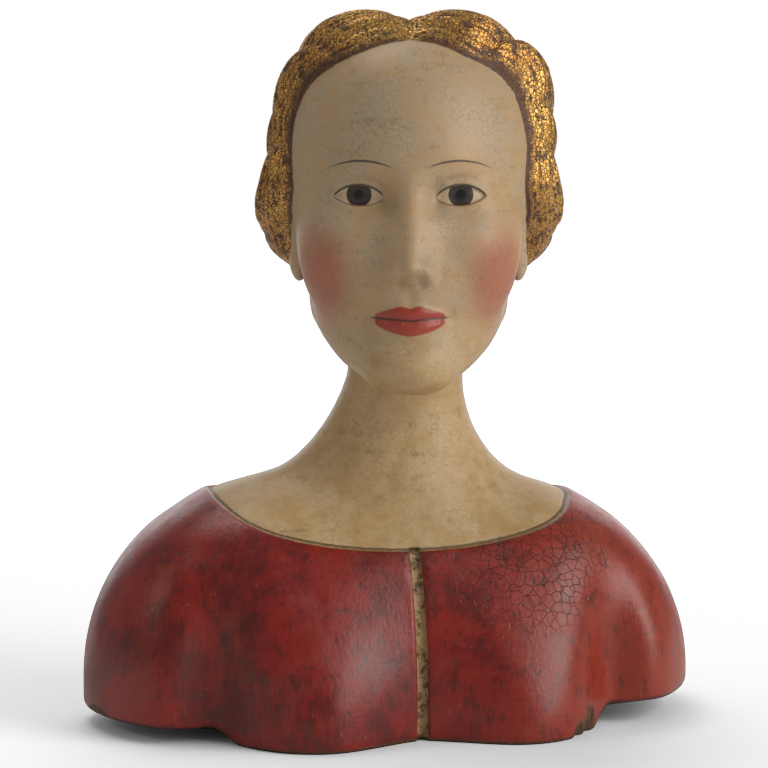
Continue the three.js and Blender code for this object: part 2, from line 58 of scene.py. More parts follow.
# The forms are worked out in millimetres, x to the viewer's right, chest towards -y, z up.
figure = {
    "height": 328,
    "headHeight": 172,
    "headTurn": -12,          # degrees about the upright axis
    "chinAcross": 4.5,
    "chinAhead": -22,
}
headHeight = figure["headHeight"]
chinPlace = (figure["chinAcross"], figure["chinAhead"], figure["height"] - headHeight)
turnCos = math.cos(math.radians(figure["headTurn"]))
turnSin = math.sin(math.radians(figure["headTurn"]))

# Drawing-book face: three and a half parts high, five eyes across.
facePart = headHeight / 3.5
face = {
    "noseLine": facePart,
    "browLine": facePart * 2,
    "eyeLine": headHeight / 2,
    "mouthLine": facePart * 2 / 3,
    "eyeWidth": headHeight * 0.64 / 5,
    "noseTip": facePart + 6.5,
    "mouthHalf": 17,
    "eyeDeep": -43.6,
    "eyeBall": 11.6,
    "lidThick": 1.5,
}


def bell(t):
    return np.exp(-t * t)


def ramp(start, end, x):
    t = np.clip((x - start) / (end - start), 0, 1)
    return t * t * (3 - 2 * t)


def mixed(a, b, t):
    return a + (b - a) * t


def softMin(a, b, reach):
    h = np.maximum(reach - np.abs(a - b), 0) / reach
    return np.minimum(a, b) - h * h * reach / 4


def softMax(a, b, reach):
    return -softMin(-a, -b, reach)


def egg(x, y, z, at, size):
    dx, dy, dz = x - at[0], y - at[1], z - at[2]
    ry = np.where(dy < 0, size["front"], size["back"])
    rz = np.where(dz < 0, size["down"], size["up"])
    far = np.sqrt(dx * dx + dy * dy + dz * dz) + 1e-5
    if "plan" not in size:
        whole = np.sqrt((dx / size["side"]) ** 2 + (dy / ry) ** 2 + (dz / rz) ** 2) + 1e-6
        return far * (1 - 1 / whole)
    plan = size["plan"]
    n = np.where(dz < 0, size["low"], size["tall"])
    level = np.abs(dx / size["side"]) ** plan + np.abs(dy / ry) ** plan
    return far * (1 - (level ** (n / plan) + np.abs(dz / rz) ** n + 1e-9) ** (-1 / n))


def rod(x, y, z, start, end, thick, thin):
    ax, ay, az = (e - s for s, e in zip(start, end))
    px, py, pz = x - start[0], y - start[1], z - start[2]
    t = np.clip((px * ax + py * ay + pz * az) / (ax * ax + ay * ay + az * az), 0, 1)
    return np.sqrt((px - ax * t) ** 2 + (py - ay * t) ** 2 + (pz - az * t) ** 2) - mixed(thick, thin, t)


def grain(x, y, z, size, seed):          # smooth random field between -1 and 1, one lump per size
    cells = [np.floor(c / size).astype(np.int64) for c in (x, y, z)]
    parts = [c / size - i for c, i in zip((x, y, z), cells)]
    parts = [t * t * (3 - 2 * t) for t in parts]
    total = 0
    for corner in itertools.product((0, 1), repeat=3):
        i, j, k = (c + d for c, d in zip(cells, corner))
        mixedUp = (i * 73856093) ^ (j * 19349663) ^ (k * 83492791) ^ (seed * 2654435761)
        mixedUp = (mixedUp ^ (mixedUp >> 13)) * 1274126177 & 0xFFFFFFFF
        value = ((mixedUp ^ (mixedUp >> 16)) & 0xFFFF) / 32767.5 - 1
        weight = 1
        for d, t in zip(corner, parts):
            weight = weight * (t if d else 1 - t)
        total = total + value * weight
    return total.astype(np.float32)


# Eyebrow, lid and lip lines, shared by the carving and the paint.
def lidLines(dx):
    t = np.clip(dx / (face["eyeWidth"] / 2), -1, 1)
    openness = 1 - t * t
    middle = 0.6 * t
    return middle + 5.2 * openness ** 0.75 - 0.5 * t, middle - 3.7 * openness ** 0.85


def lipHeights(across):
    t = across / face["mouthHalf"]
    side = np.clip(1 - t * t, 0, 1)
    line = face["mouthLine"] + 0.9 * t * t - 0.5 * bell(across / 3.5)
    upper = 5.6 * side ** 0.75 + 0.7 * bell((across - 4.2) / 2.8) + 0.2
    lower = 6.8 * side ** 0.6 + 0.2
    return line, upper, lower, side


# Height of the face's features above the plain head, looking straight at it.
def faceRelief(x, z):
    across = np.abs(x)
    eyeLine, browLine, noseLine = face["eyeLine"], face["browLine"], face["noseLine"]
    noseTip, mouthLine, half = face["noseTip"], face["mouthLine"], face["mouthHalf"]

    # Sockets, brow ridge and cheekbones.
    level = bell((z - eyeLine) / 9.5)
    rise = -6 * bell((across - 19) / 12) * level
    rise -= 4.6 * bell((across - 11) / 4.5) * bell((z - eyeLine + 1) / 6.5)
    rise -= 2 * bell(x / 8) * bell((z - eyeLine - 1) / 7)
    upper, _ = lidLines(across - face["eyeWidth"] - 0.4)
    fold = z - eyeLine - upper - 3.4
    rise -= 0.9 * bell(fold / 1.1) * ramp(17, 8, np.abs(across - face["eyeWidth"] - 0.4))
    browArch = browLine + 2 + 2 * bell((across - face["eyeWidth"] - 2) / 15)
    rise += bell((z - browArch) / 6) * bell((across - 19) / 16)
    rise += 2 * bell((across - 30) / 13) * bell((z - 66) / 12)

    # Nose: a ridge that grows to a round tip, and the wings beside it.
    down = np.clip((browLine - 8 - z) / (browLine - 8 - noseTip), 0, 1)
    ridge = 1.2 + 7.8 * down ** 1.1
    underside = ramp(noseLine - 6, noseTip + 1, z)
    rise += ridge * underside * ramp(browLine + 10, browLine - 12, z) * bell(x / mixed(7.5, 10, down))
    rise += 3.8 * bell(x / 6.6) * bell((z - noseTip + 0.5) / 6.2)
    rise += 4.6 * bell((across - 8.2) / 3.4) * bell((z - noseLine - 4.4) / 4.6)
    rise -= 1 * bell((across - 13) / 2) * bell((z - noseLine - 4) / 5)
    rise -= 2.4 * bell((across - 4.6) / 2.2) * bell((z - noseLine + 0.6) / 2.1)

    # Mouth: the mound round the teeth, the lips and the line between them.
    lipLine, upperTall, lowerTall, side = lipHeights(across)
    above = z - lipLine
    rise += 2.6 * bell(x / 18) * bell((z - mouthLine) / 14)
    upper = ramp(upperTall + 2, upperTall * 0.4, above) * ramp(-1.4, 1, above)
    lower = ramp(-lowerTall - 3, -lowerTall * 0.4, above) * ramp(1.2, -1.8, above)
    rise += 2.1 * side ** 0.6 * upper + 2.7 * side ** 0.5 * lower
    rise -= 1.3 * bell(above / 1.6) * ramp(half + 2, half - 5, across)
    rise -= 1.3 * bell((across - half - 0.6) / 3) * bell((z - mouthLine - 0.8) / 3.2)
    rise -= 0.8 * bell(x / 2.4) * bell((z - noseLine + 5) / 4.5)
    rise -= 2.2 * bell(x / 13) * bell((z - mouthLine + 12.5) / 4)
    rise += 1.6 * bell(x / 12) * bell((z - 9) / 8)
    return rise


def eyeSolid(across, y, z, skin):        # the ball, and lids that leave an almond open
    dx, dy, dz = across - face["eyeWidth"] - 0.4, y - face["eyeDeep"], z - face["eyeLine"]
    ball = np.sqrt((dx / 1.22) ** 2 + dy * dy + dz * dz) - face["eyeBall"]
    upper, lower = lidLines(dx)
    beyond = np.maximum(np.maximum(dz - upper, lower - dz), np.abs(dx) - face["eyeWidth"] / 2)
    lids = np.maximum(ball - face["lidThick"], -beyond)
    shaped = np.minimum(softMin(skin, lids, 2.6), ball)
    near = (np.abs(dx) < 18) & (np.abs(dz) < 16) & (dy < 4)
    return np.where(near, shaped, skin)


head = {
    "skull": {"side": 56, "front": 66, "back": 70, "up": 63, "down": 74, "plan": 2, "tall": 2.3, "low": 2.1},
    "face": {"side": 45, "front": 45, "back": 46, "up": 54, "down": 60},
    "cheek": {"side": 17, "front": 20, "back": 22, "up": 20, "down": 26},
    "chin": {"side": 14, "front": 15, "back": 18, "up": 16, "down": 13},
    "ear": {"side": 5, "front": 8, "back": 8, "up": 14, "down": 14},
    "earHollow": {"side": 5, "front": 4, "back": 4.5, "up": 9, "down": 8},
}


def plainHead(x, y, z):
    a = np.abs(x)
    cranium = egg(x, y, z, (0, 2, 100), head["skull"])
    frontal = egg(x, y, z, (0, -20, 62), head["face"])
    cheek = egg(a, y, z, (30, -34, 64), head["cheek"])
    jaw = rod(a, y, z, (30, -2, 36), (10, -46, 14), 13, 12)
    chin = egg(x, y, z, (0, -50, 13), head["chin"])
    return softMin(softMin(softMin(cranium, frontal, 12), softMin(jaw, chin, 12), 14), cheek, 14)


def skinSolid(x, y, z):                  # the head without its hair, and the same without features
    a = np.abs(x)
    bare = plainHead(x, y, z)
    skin = bare.copy()
    ahead = y < -8
    if ahead.any():
        fx, fy, fz = x[ahead], y[ahead], z[ahead]
        raised = plainHead(fx, fy + faceRelief(fx, fz) * ramp(-8, -32, fy), fz)
        skin[ahead] = eyeSolid(np.abs(fx), fy, fz, raised)
    ear = egg(a, y, z, (50, -4, 62), head["ear"])
    hollow = egg(a, y, z, (56.5, -5, 65), head["earHollow"])
    return softMin(skin, softMax(ear, -hollow, 2), 4), bare


hair = {
    "centre": 87,                        # height of the wave's centre above the chin
    "mass": {"side": 67, "front": 64, "back": 74, "up": 85, "down": 60, "plan": 2.2, "tall": 2.8, "low": 2},
    "knot": {"side": 33, "front": 20, "back": 25, "up": 28, "down": 24},
    "knotCentre": (0, 78, 60),
    "lockWide": 8,
    "strandWide": 2.6,
    "strandDeep": 0.42,
    "waveEdges": (0, 30, 54, 69, 128),   # degrees from the parting
    "waveLeft": (4.6, 3.4, 2.6, 8.2),
    "waveRight": (4.4, 8, 4, 7),
}


def behindHairline(x, y, z):
    angle = np.degrees(np.arctan2(np.abs(x), z - hair["centre"]))
    depth = -38 + 17 * ramp(18, 50, angle) - 3 * ramp(60, 80, angle) + 28 * ramp(84, 118, angle)
    depth += 18 * ramp(110, 150, angle) + 16 * ramp(140, 180, angle)
    return angle, (y - depth) * 1.1


def acrossLocks(y, z, behind):           # millimetres across the run of the hair
    _, ky, kz = hair["knotCentre"]
    return mixed(behind, np.arctan2(z - kz, ky - y) * 62, ramp(6, 40, behind))


def hairSolid(x, y, z, bare):
    a = np.abs(x)
    angle, behind = behindHairline(x, y, z)
    mass = egg(x, y, z, (0.8, 6, hair["centre"]), hair["mass"])
    roll = mixed(13, 25, ramp(50, 104, angle))
    thick = 1 - (1 - np.clip(behind / roll, 0, 1)) ** 2
    slanted = angle - 0.3 * (behind - 8)
    swell = np.zeros_like(x)
    edges = hair["waveEdges"]
    for start, end, left, right in zip(edges, edges[1:], hair["waveLeft"], hair["waveRight"]):
        t = np.clip((slanted - start) / (end - start), 0, 1)
        swell += np.where(x < 0, left, right) * np.maximum(np.sin(np.pi * t), 0) ** 0.6
    swell *= ramp(62, 20, y)
    parting = 2.8 * np.exp(-a / 5) * ramp(48, 20, y) * ramp(100, 130, z)
    waves = np.abs(np.sin(np.pi * acrossLocks(y, z, behind) / hair["lockWide"]))
    lock = 1.7 * (waves - 0.5) * ramp(96, 60, y)
    rise = (swell + lock * ramp(2, 8, behind) - parting) * thick - 3.6
    knot = egg(x, y, z, (0, 64, 60), hair["knot"])
    turn = np.hypot(x, z - 60) * 0.42 + np.arctan2(x, z - 60) / 2
    coil = 1.1 * np.abs(np.sin(turn))
    cover = mixed(bare + 1.2, mass - rise, thick) + 0.6 * np.maximum(-behind, 0)
    return np.where(behind < -12, bare + 8, softMin(cover, knot - coil, 8))


def headFrame(x, y, z):
    hx, hy, hz = x - chinPlace[0], y - chinPlace[1], z - chinPlace[2]
    return turnCos * hx + turnSin * hy, -turnSin * hx + turnCos * hy, hz


torso = {
    "shoulderCore": (60, 17),
    "reach": 82.5,
    "rise": 90,
    "chestDeep": 70,
    "backDeep": 54,
    "drop": 0.022,                       # the shoulders slope down to the right
    "neckFillet": 32,
}
bodice = {
    "across": 86,
    "top": 109,
    "dip": 26,
    "back": 42,
    "thick": 1.6,
    "slitHalf": 2.35,
    "slitDeep": 2.8,
}


def torsoSolid(x, y, height):
    z = height + torso["drop"] * x
    a = np.abs(x)
    low = ramp(98, 20, z)
    ahead = 18 * bell((a - 46) / 32) * bell((z - 4) / 46)
    ahead += low * (4 * bell((a - 118) / 15) - 13 * bell((a - 91) / 14) - 1.5 * bell(x / 12))
    behind = 2.5 * bell((a - 46) / 24) * bell((z - 70) / 32)
    behind -= 3 * bell(x / 14) * ramp(130, 90, z) + 6 * bell((a - 97) / 14) * low
    push = np.where(y < 0, ahead, behind)
    deep = np.where(y < 0, torso["chestDeep"], torso["backDeep"])
    warped = np.maximum(np.abs(y) - push * ramp(4, 34, np.abs(y)), 0)
    qx = np.maximum(a - torso["shoulderCore"][0], 0)
    qz = np.maximum(z - torso["shoulderCore"][1], 0)
    section = (warped / deep) ** 2.4 + (qz / torso["rise"]) ** 2.4
    whole = np.sqrt((qx / torso["reach"]) ** 2 + section ** (2 / 2.4)) + 1e-5
    far = np.sqrt(qx * qx + warped * warped + qz * qz)
    trunk = np.maximum(far * (1 - 1 / whole), -56)
    nape = rod(a, y, z, (10, 2, 114), (72, 2, 85), 19, 16)
    return softMin(trunk, nape, 16)


def outsideNeckline(x, y, z):
    dip = np.maximum(bodice["top"] - z, 0) / bodice["dip"] * ramp(8, -26, y)
    back = y / bodice["back"] * ramp(-8, 20, y)
    out = np.sqrt((x / bodice["across"]) ** 2 + dip * dip + back * back)
    return (out - 1) * mixed(34, 60, ramp(40, 80, np.abs(x)))


def filletJoin(a, b, radius):
    corner = np.hypot(np.maximum(radius - a, 0), np.maximum(radius - b, 0))
    return np.maximum(np.minimum(a, b), radius) - corner


breaks = [                               # wood broken away along the lower edge
    {"at": (86, -73, 3), "size": {"side": 12, "front": 8, "back": 7, "up": 12, "down": 12}},
    {"at": (76, -80, 0), "size": {"side": 9, "front": 7, "back": 6, "up": 8, "down": 8}},
    {"at": (-140, -20, 6), "size": {"side": 7, "front": 14, "back": 12, "up": 5, "down": 9}},
    {"at": (112, -46, 7), "size": {"side": 5, "front": 5, "back": 5, "up": 4, "down": 9}},
]


def brokenAway(x, y, z):
    gone = np.minimum.reduce([egg(x, y, z, b["at"], b["size"]) for b in breaks])
    return np.where(z > 24, 20, gone)


def bust(x, y, z):                       # less than zero inside the wood
    body = rod(x, y, z, (6, 1, 90), (5.5, -12, 178), 31, 25.5)
    low = z < 172
    if low.any():
        bx, by, bz = x[low], y[low], z[low]
        outside = outsideNeckline(bx, by, bz)
        dressed = ramp(-0.8, 0.8, outside) * bodice["thick"]
        slit = bodice["slitDeep"] * ramp(0.55, -0.55, np.abs(bx) - bodice["slitHalf"]) * (by < -20)
        joined = filletJoin(torsoSolid(bx, by, bz), body[low], torso["neckFillet"])
        body[low] = joined - dressed + slit * ramp(-2, 0, outside)
    under = z < chinPlace[2] - 40
    if under.any():
        body[under] = softMax(body[under], -brokenAway(x[under], y[under], z[under]), 1.5)
    over = ~under
    if over.any():
        hx, hy, hz = headFrame(x[over], y[over], z[over])
        skin, bare = skinSolid(hx, hy, hz)
        whole = np.minimum(skin, hairSolid(hx, hy, hz, bare))
        body[over] = softMin(body[over], whole, 6)
    return body


# The skin is found by rays that leave a line inside the bust. Each station gives where its
# rays start and where they aim, at the front, the side and the back.
carving = {
    "columns": 648,
    "rowsEach": 16,
    "coarse": 8,
    "gather": 0.36,                      # how far the columns crowd towards the face
    "flatMiddle": (78, 40),
    "armLift": (7.5, 11),
    "wanted": 190000,                    # triangles in the finished skin
}
headHeart = (chinPlace[0] + 1, chinPlace[1] - 2, chinPlace[2] + 84)
stations = [
    {"rows": 19, "start": headHeart, "climb": (90, 90, 90), "turn": figure["headTurn"]},
    {"rows": 4, "start": headHeart, "aim": ((22, 158), (36, 160), (47, 180)), "turn": figure["headTurn"]},
    {"rows": 5, "start": (5, -8, 140), "aim": ((28, 140),) * 3, "turn": figure["headTurn"] / 2},
    {"rows": 1, "start": (0, 0, 60), "inside": -1, "turn": 0},
    {"rows": 8, "start": (0, 0, 60), "inside": 1, "turn": 0},
    {"rows": 0, "start": (0, 0, 4), "climb": (0, 0, 0), "turn": 0, "lift": True},
]


def walkOut(start, way, near):           # distance along each ray to the first point outside
    def at(which, distance):
        return bust(*(start[:, which] + way[:, which] * distance).astype(np.float32))

    every = np.arange(near.size)
    near = np.where(at(every, near) < 0, near, 8)
    far = near.copy()
    active = every
    while active.size:
        depth = -at(active, far[active])
        inside = (depth > 0) & (far[active] < 260)
        active, depth = active[inside], depth[inside]
        near[active] = far[active]
        far[active] += np.clip(depth * 0.6, 0.25, 20)
    for _ in range(11):
        middle = (near + far) / 2
        isIn = at(every, middle) < 0
        near, far = np.where(isIn, middle, near), np.where(isIn, far, middle)
    return far


def wayOf(angle, climb):
    return np.stack([np.sin(angle) * np.cos(climb), -np.cos(angle) * np.cos(climb), np.sin(climb)])


def necklineClimb(angle, start, inside):
    high, low = np.full_like(angle, math.radians(75)), np.full_like(angle, math.radians(5))
    base = np.repeat(np.array(start, dtype=float)[:, None], angle.size, axis=1)
    for _ in range(18):
        climb = (high + low) / 2
        way = wayOf(angle, climb)
        far = walkOut(base, way, np.full(angle.size, 8.0))
        outside = outsideNeckline(*(base + way * far)) > inside
        low, high = np.where(outside, climb, low), np.where(outside, high, climb)
    return (low + high) / 2


def aroundMix(values, angle):
    c = np.cos(angle)
    ends = np.where(c > 0, values[0], values[2])
    return mixed(values[1], ends, c * c)


def aimOf(station, angle):
    return [aroundMix([a[i] for a in station["aim"]], angle) for i in (0, 1)]


def climbOf(station, angle):
    if "inside" in station:
        return necklineClimb(angle, station["start"], station["inside"])
    if "climb" in station:
        return np.radians(aroundMix(station["climb"], angle))
    out, high = aimOf(station, angle)
    return np.arctan2(high - station["start"][2], out)


def armLift(angle):
    aside = np.degrees(np.abs(angle))
    left, right = carving["armLift"]
    return np.where(angle < 0, left, right) * ramp(51, 62, aside) * ramp(128, 112, aside)


def layRays():
    turn = np.arange(carving["columns"]) / carving["columns"] * 2 * np.pi - np.pi
    gathered = turn - carving["gather"] * np.sin(turn)
    starts, ways = [], []
    for here, after in zip(stations, stations[1:]):
        climbHere, climbAfter = climbOf(here, gathered), climbOf(after, gathered)
        steps = here["rows"] * carving["rowsEach"]
        for step in range(steps + ("lift" in after)):
            t = step / steps
            start = np.outer(mixed(np.array(here["start"]), np.array(after["start"]), t), np.ones_like(turn))
            angle = gathered + math.radians(mixed(here["turn"], after["turn"], t))
            if "lift" in after:
                start[2] += t * armLift(angle)
            if "aim" in here and "aim" in after:
                out, high = (mixed(a, b, t) for a, b in zip(aimOf(here, gathered), aimOf(after, gathered)))
                climb = np.arctan2(high - start[2], out)
            else:
                climb = mixed(climbHere, climbAfter, t)
            starts.append(start)
            ways.append(wayOf(angle, climb))
    return np.stack(starts, axis=1), np.stack(ways, axis=1)   # each is axis, row, column


def leastAround(grid):                   # smallest value in each cell's neighbourhood
    padded = np.pad(grid, ((1, 1), (0, 0)), mode="edge")
    rows = np.minimum.reduce([padded[:-2], padded[1:-1], padded[2:]])
    return np.minimum.reduce([np.roll(rows, s, axis=1) for s in (-1, 0, 1)])


def carve():
    starts, ways = layRays()
    rows, columns = starts.shape[1:]
    k = carving["coarse"]
    coarseStart, coarseWay = starts[:, ::k, ::k], ways[:, ::k, ::k]
    shape = coarseStart.shape[1:]
    far = walkOut(coarseStart.reshape(3, -1), coarseWay.reshape(3, -1), np.full(shape[0] * shape[1], 8.0))
    near = leastAround(far.reshape(shape)) - 1.5
    near = np.repeat(np.repeat(near, k, axis=0), k, axis=1)[:rows, :columns]
    far = walkOut(starts.reshape(3, -1), ways.reshape(3, -1), near.reshape(-1).copy())
    return starts + ways * far.reshape(rows, columns)


def gridNormals(points):
    alongRow = np.roll(points, -1, axis=2) - np.roll(points, 1, axis=2)
    downRows = np.gradient(points, axis=1)
    normal = np.cross(downRows, alongRow, axis=0)
    return normal / (np.linalg.norm(normal, axis=0) + 1e-9)


# Relief finer than the solid's: strands of hair, the hand of the carver, worn and broken wood.
def fineRelief(x, y, z):
    hx, hy, hz = headFrame(x, y, z)
    isHair, groove = strands(hx, hy, hz, z)
    outside = outsideNeckline(x, y, z)
    lumps = grain(x, y, z, 9, 3) * 0.16 + grain(x, y, z, 4, 4) * 0.07
    tooled = grain(x, y, z * 0.5, 17, 5) * 0.3 + grain(x, y, z * 0.4, 6, 6) * 0.1
    dressed = ramp(-0.5, 0.5, outside) * (z < 130)
    inBreak = ramp(1.2, -0.3, brokenAway(x, y, z)) * (z < 24)
    torn = grain(x, y, z * 0.35, 2.2, 7) * 0.8 + grain(x, y, z * 0.4, 5, 8) * 0.9
    rise = mixed(lumps, tooled, dressed)
    rise -= 0.45 * bell((outside + 1.1) / 0.55) * (z < 130) * (y < 40)
    rise += isHair * (hair["strandDeep"] * (0.5 - groove) + 0.1 * grain(x, y, z, 3, 9))
    return mixed(rise, torn, inBreak)


def strands(hx, hy, hz, z):
    skin, bare = skinSolid(hx, hy, hz)
    isHair = ramp(-0.4, 1.2, skin - hairSolid(hx, hy, hz, bare)) * (z > 150)
    angle, behind = behindHairline(hx, hy, hz)
    across = acrossLocks(hy, hz, behind) + 1.3 * grain(hx, hy, hz, 14, 11)
    groove = 1 - np.abs(np.sin(np.pi * across / hair["strandWide"]))
    return isHair, groove ** 2


def buildSkin():
    points = carve()
    print("stage: skin found", points.shape)
    flat = points.astype(np.float32).reshape(3, -1)
    relief = fineRelief(*flat).reshape(points.shape[1:])
    relief *= ramp(0, 4, np.arange(points.shape[1]))[:, None]
    relief *= ramp(0, 10, points.shape[1] - 1 - np.arange(points.shape[1]))[:, None]
    points = points + gridNormals(points) * relief

    rings = [points[:, i] for i in range(1, points.shape[1])]
    edge = rings[-1]
    outward = edge[:2] / np.hypot(*edge[:2])
    rimSteps = ((0.1, 1), (0.35, 2), (0.9, 3.1), (1.7, 3.8), (3, 4))    # inset and drop of the worn rim
    for inset, drop in rimSteps:
        rings.append(np.stack([edge[0] - outward[0] * inset, edge[1] - outward[1] * inset, edge[2] - drop]))
    rim = rings[-1]
    keep = 1 / np.hypot(edge[0] / carving["flatMiddle"][0], edge[1] / carving["flatMiddle"][1])
    inner = np.stack([edge[0] * keep, edge[1] * keep, edge[2] * 0])
    for t in np.linspace(0, 1, 9)[1:]:
        rings.append(mixed(rim, inner, t))
    for t in (0.7, 0.4, 0.15):
        rings.append(inner * t)
    columns = edge.shape[1]
    verts = np.concatenate([points[:, 0, :1].T] + [r.T for r in rings] + [np.zeros((1, 3))])
    ids = 1 + np.arange(len(rings) * columns).reshape(len(rings), columns)
    after = np.roll(ids, -1, axis=1)
    quads = np.stack([ids[:-1], ids[1:], after[1:], after[:-1]], axis=-1).reshape(-1, 4)
    last = len(verts) - 1
    caps = [(0, a, b) for a, b in zip(ids[0], after[0])] + [(last, b, a) for a, b in zip(ids[-1], after[-1])]
    mesh = bpy.data.meshes.new("bust skin")
    mesh.from_pydata(verts.tolist(), [], quads.tolist() + caps)
    mesh.update()
    return mesh


def thinned(mesh):
    piece = bpy.data.objects.new("painted_bust", mesh)
    bpy.context.scene.collection.objects.link(piece)
    triangles = sum(len(p.vertices) - 2 for p in mesh.polygons)
    collapse = piece.modifiers.new("thin", "DECIMATE")
    collapse.ratio = carving["wanted"] / triangles
    collapse.use_collapse_triangulate = True
    evaluated = piece.evaluated_get(bpy.context.evaluated_depsgraph_get())
    final = bpy.data.meshes.new_from_object(evaluated)
    piece.modifiers.clear()
    piece.data = final
    bpy.data.meshes.remove(mesh)
    final.name = "painted_bust"
    return piece


piece = thinned(buildSkin())
print("stage: skin thinned to", len(piece.data.polygons), "triangles")


# Fields that the paint follows, worked out again at the points of the finished skin.
paintLines = {
    "browLift": 3.4,
    "browHalf": 0.62,
    "irisRound": 5.5,
    "pupilRound": 2.3,
    "rougeAt": (40, 50),
    "rougeWide": (15, 22),
}


def storeField(mesh, name, values):
    mesh.attributes.new(name, "FLOAT", "POINT").data.foreach_set("value", values.astype(np.float32))


def storePaintFields(mesh):
    count = len(mesh.vertices)
    flat = np.empty(count * 3, dtype=np.float32)
    mesh.vertices.foreach_get("co", flat)
    x, y, z = flat.reshape(-1, 3).T.copy()
    normals = np.empty(count * 3, dtype=np.float32)
    mesh.vertices.foreach_get("normal", normals)
    nx, ny, nz = normals.reshape(-1, 3).T.copy()
    hx, hy, hz = headFrame(x, y, z)
    skin, bare = skinSolid(hx, hy, hz)
    isHair, groove = strands(hx, hy, hz, z)
    angle, behind = behindHairline(hx, hy, hz)
    high = z > 150
    storeField(mesh, "hair", np.where(high, np.clip(skin - hairSolid(hx, hy, hz, bare), -4, 4), -4))
    storeField(mesh, "hairGroove", groove * isHair)
    storeField(mesh, "hairAcross", acrossLocks(hy, hz, behind))
    storeField(mesh, "hairAlong", mixed(angle * 1.2, np.hypot(hy - 78, hz - 60), ramp(6, 40, behind)))
    storeField(mesh, "hairBehind", np.clip(behind, -20, 60))
    storeField(mesh, "outside", np.where(z < 140, outsideNeckline(x, y, z), -20))
    storeField(mesh, "slit", np.where((y < -20) & (z < 110), np.abs(x) - bodice["slitHalf"], 20))
    storeField(mesh, "gone", brokenAway(x, y, z))
    # How enclosed each point is, close in and further out; the paint darkens by these, which is painted shade.
    for name, reach in (("crease", 1.6), ("shade", 9.0)):
        openness = bust(x + nx * reach, y + ny * reach, z + nz * reach) / reach
        storeField(mesh, name, np.clip(1 - openness, 0, 1))

    # The face: brows, lids, iris, lips and rouge, as distances in millimetres.
    a = np.abs(hx)
    ahead = (hy < -20) & high
    browLine = face["browLine"] + paintLines["browLift"] * (1 - ((a - 22) / 15) ** 2)
    storeField(mesh, "browOff", np.where(ahead, np.clip(hz - browLine, -9, 9), 9))
    taper = np.sqrt(np.clip((a - 7) / 8, 0, 1)) * np.sqrt(np.clip((37 - a) / 13, 0, 1))
    storeField(mesh, "browHalf", taper * paintLines["browHalf"] - 0.06)
    dx, dz = a - face["eyeWidth"] - 0.4, hz - face["eyeLine"]
    upper, lower = lidLines(dx)
    storeField(mesh, "lidTop", np.where(ahead, np.clip(dz - upper, -9, 9), 9))
    storeField(mesh, "lidBottom", np.where(ahead, np.clip(dz - lower, -9, 9), 9))
    storeField(mesh, "eyeAcross", np.where(ahead, np.clip(dx / face["eyeWidth"] * 2, -3, 3), 3))
    storeField(mesh, "irisFar", np.where(ahead, np.hypot(dx + 0.2, dz - 1.1), 30))
    line, upperTall, lowerTall, _ = lipHeights(a)
    above = hz - line
    storeField(mesh, "lipTop", np.where(ahead, np.clip(upperTall - above, -9, 9), -9))
    storeField(mesh, "lipBottom", np.where(ahead, np.clip(above + lowerTall, -9, 9), -9))
    storeField(mesh, "mouthOff", np.where(ahead, np.clip(above, -9, 9), 9))
    storeField(mesh, "faceAcross", a)
    rouge = bell((a - paintLines["rougeAt"][0]) / paintLines["rougeWide"][0])
    rouge *= bell((hz - paintLines["rougeAt"][1]) / paintLines["rougeWide"][1])
    storeField(mesh, "rouge", rouge * ahead)


storePaintFields(piece.data)
print("stage: paint fields stored")

# The skin goes to metres, centred as the frame is.
low, high = (np.array(c) for c in zip(*((min(v), max(v)) for v in zip(*(p.co for p in piece.data.vertices)))))
middle = [(cadLow[i] + cadHigh[i]) / 2 - (low[i] + high[i]) / 2000 for i in (0, 1)]
axisShift = Vector((middle[0], middle[1], 0))
places = np.empty(len(piece.data.vertices) * 3, dtype=np.float32)
piece.data.vertices.foreach_get("co", places)
places = places.reshape(-1, 3) / 1000 + np.array(axisShift)
piece.data.vertices.foreach_set("co", places.astype(np.float32).ravel())
piece.data.polygons.foreach_set("use_smooth", [True] * len(piece.data.polygons))
piece.data.update()


# A value in a material, with ordinary arithmetic.
class Value:
    def __init__(self, tree, socket):
        self.tree, self.socket = tree, socket

    def math(self, kind, *others):
        node = self.tree.nodes.new("ShaderNodeMath")
        node.operation = kind
        for slot, value in zip(node.inputs, (self, *others)):
            connect(self.tree, value, slot)
        return Value(self.tree, node.outputs[0])

    def __add__(self, other):
        return self.math("ADD", other)

    def __sub__(self, other):
        return self.math("SUBTRACT", other)

    def __rsub__(self, other):
        return (self * -1) + other

    def __mul__(self, other):
        return self.math("MULTIPLY", other)

    def __truediv__(self, other):
        return self.math("DIVIDE", other)

    __radd__, __rmul__ = __add__, __mul__

    def size(self):
        return self.math("ABSOLUTE")

    def least(self, other):
        return self.math("MINIMUM", other)

    def most(self, other):
        return self.math("MAXIMUM", other)

    def inside(self, start, end):        # 0 at start, 1 at end, smooth between
        node = self.tree.nodes.new("ShaderNodeMapRange")
        node.interpolation_type = "SMOOTHSTEP"
        connect(self.tree, self, node.inputs["Value"])
        node.inputs["From Min"].default_value, node.inputs["From Max"].default_value = sorted((start, end))
        ends = (0, 1) if start < end else (1, 0)
        node.inputs["To Min"].default_value, node.inputs["To Max"].default_value = ends
        return Value(self.tree, node.outputs[0])


def connect(tree, value, slot):
    if isinstance(value, Value):
        tree.links.new(value.socket, slot)
    elif isinstance(value, tuple) and len(value) == 3 and slot.type == "RGBA":
        slot.default_value = (*value, 1)
    else:
        slot.default_value = value


